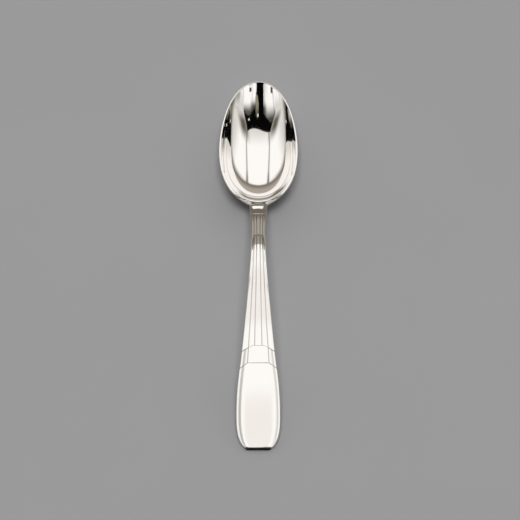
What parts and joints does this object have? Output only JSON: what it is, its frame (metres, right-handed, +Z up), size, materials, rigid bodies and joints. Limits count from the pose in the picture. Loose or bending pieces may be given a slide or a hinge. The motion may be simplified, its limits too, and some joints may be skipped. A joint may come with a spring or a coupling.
{
  "type": "spoon",
  "caption": "Small polished silver spoon with an egg-shaped bowl, an arched fluted stem and a plain end panel with a threaded border.",
  "frame": {"origin": "on the table, under the middle of the spoon's box", "axes": "+Y from the handle's end to the tip of the bowl, +X across the bowl, +Z up out of the hollow"},
  "size_m": [0.0292, 0.14, 0.0188],
  "materials": {
    "silver_plate": "mirror polished silver plate with fine wipe marks"
  },
  "bodies": {
    "root": {"bowl": "silver_plate", "neck": "silver_plate", "fluted_stem": "silver_plate", "collar_band": "silver_plate", "end_panel": "silver_plate"}
  },
  "joints": []
}
